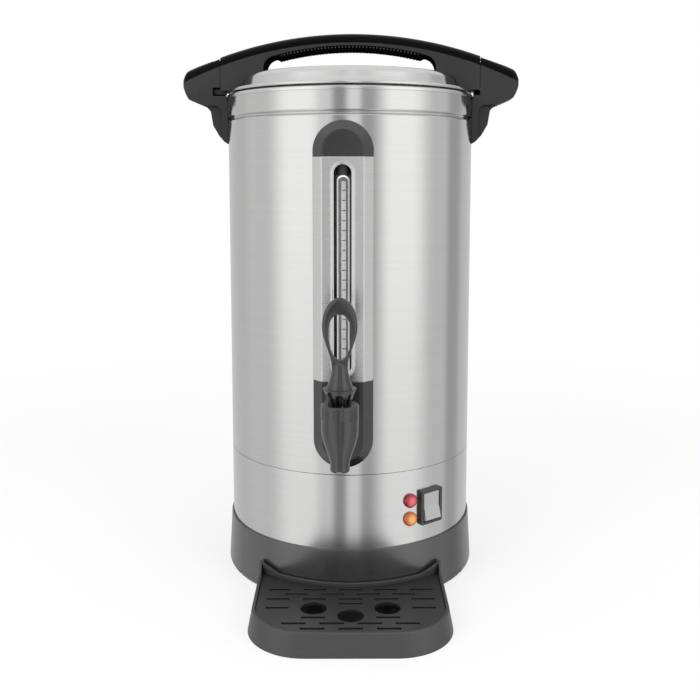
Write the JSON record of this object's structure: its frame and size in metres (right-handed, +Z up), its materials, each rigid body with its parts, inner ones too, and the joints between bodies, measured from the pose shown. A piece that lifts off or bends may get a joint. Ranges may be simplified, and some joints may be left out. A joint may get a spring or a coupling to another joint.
{
  "type": "coffee urn",
  "caption": "Percolator coffee urn: steel tank on a moulded base with a sight gauge, self-closing tap, switch and lamps, locking lid with arch handle and a removable drip tray.",
  "frame": {"origin": "on the urn's vertical axis at table level, in the plane of the base's lower rim", "axes": "+Z up, -Y towards the tap and the user, +X to the user's right"},
  "size_m": [0.302, 0.3187, 0.483],
  "materials": {
    "brushed_body": "fine vertical grain, satin",
    "bright_steel": "bright satin",
    "screw_steel": "zinc plated",
    "base_plastic": "fine spark texture",
    "handle_plastic": "fine grain, satin",
    "tap_plastic": "satin sheen",
    "tray_plastic": "fine grain",
    "rubber_foot": "matt",
    "silicone": "soft silicone",
    "dark_silicone": "soft silicone",
    "gauge_clear": "clear tube",
    "scale_white": "printed white",
    "red_lens": "clear moulded lens",
    "amber_lens": "clear moulded lens",
    "switch_black": "satin",
    "rocker_grey": "smooth",
    "heater_alloy": "cast, matt",
    "element_sheath": "oxidised sheath",
    "thermostat_black": "phenolic",
    "cutout_body": "unglazed",
    "contact_brass": "bright",
    "valve_acetal": "natural acetal"
  },
  "bodies": {
    "urn": {"base": "base_plastic", "bottom_plate": "bright_steel", "base_screws": "screw_steel", "feet": "rubber_foot", "control_band": "brushed_body", "joining_sleeve": "bright_steel", "body_shell": "brushed_body", "tank": "bright_steel", "column_panel": "brushed_body", "column_cap": "tap_plastic", "tap_housing": "tap_plastic", "gauge_tube": "gauge_clear", "gauge_backing": "tap_plastic", "gauge_scale": "scale_white", "gauge_seals": "dark_silicone", "tap_body": "tap_plastic", "tap_bonnet": "tap_plastic", "tap_nut": "screw_steel", "tap_washers": "silicone", "tap_spring": "screw_steel", "pilot_lamp_red": "red_lens", "pilot_lamp_amber": "amber_lens", "lamp_bezels": "switch_black", "switch_housing": "switch_black", "side_handle_left": "handle_plastic", "side_handle_right": "handle_plastic", "handle_screws": "screw_steel", "heat_spreader": "heater_alloy", "boiling_element": "element_sheath", "warming_element": "element_sheath", "thermostat": "thermostat_black", "thermal_cutout": "cutout_body", "tie_studs": "screw_steel", "tie_nuts": "screw_steel", "power_inlet": "switch_black", "inlet_pins": "contact_brass", "inlet_screws": "screw_steel"},
    "valve_stem": {"tap_stem": "valve_acetal", "seat_cup": "silicone"},
    "lever": {"tap_lever": "tap_plastic", "lever_pin": "screw_steel"},
    "rocker": {"switch_rocker": "rocker_grey"},
    "pump": {"pump_tube": "bright_steel"},
    "basket": {"filter_basket": "bright_steel"},
    "basket_cover": {"basket_cover": "bright_steel"},
    "lid_seal": {"lid_seal": "silicone"},
    "lid": {"lid": "bright_steel", "lid_skirt": "bright_steel", "lid_handle": "handle_plastic", "lid_handle_screws": "screw_steel", "steam_vent": "bright_steel"},
    "tray": {"drip_tray": "tray_plastic"},
    "grille": {"drip_grille": "tray_plastic"}
  },
  "joints": [
    {"name": "stem_lift", "type": "slide", "parent": "urn", "child": "valve_stem", "axis": [0, 0, 1], "range_m": [0, 0.0044], "deforming": ["tap_spring"]},
    {"name": "lever_tilt", "type": "hinge", "parent": "valve_stem", "child": "lever", "pos_m": [0, -0.166, 0.191], "axis": [1, 0, 0], "range_deg": [0, 35], "stiffness_Nm_per_rad": 0.25, "springref_deg": -8.59},
    {"name": "switch_rock", "type": "hinge", "parent": "urn", "child": "rocker", "pos_m": [0.07085, -0.08151, 0.076], "axis": [0.7547, 0.6561, 0], "range_deg": [0, 14]},
    {"name": "tray_slide", "type": "slide", "parent": "urn", "child": "tray", "axis": [0.0489, -0.9988, 0], "range_m": [0, 0.06]},
    {"name": "grille_lift", "type": "slide", "parent": "tray", "child": "grille", "axis": [0, 0, 1], "range_m": [0, 0.04]},
    {"name": "pump_lift", "type": "slide", "parent": "urn", "child": "pump", "axis": [0, 0, 1], "range_m": [0, 0.34]},
    {"name": "basket_lift", "type": "slide", "parent": "pump", "child": "basket", "axis": [0, 0, 1], "range_m": [0, 0.11]},
    {"name": "cover_lift", "type": "slide", "parent": "basket", "child": "basket_cover", "axis": [0, 0, 1], "range_m": [0, 0.05]},
    {"name": "lid_lift", "type": "slide", "parent": "basket_cover", "child": "lid_seal", "axis": [0, 0, 1], "range_m": [0, 0.12]},
    {"name": "lid_turn", "type": "hinge", "parent": "lid_seal", "child": "lid", "pos_m": [0, 0, 0.43], "axis": [0, 0, 1], "range_deg": [0, 20]}
  ],
  "couplings": [
    {"joint": "stem_lift", "follows": "lever_tilt", "m_per_rad": 0.0072}
  ]
}
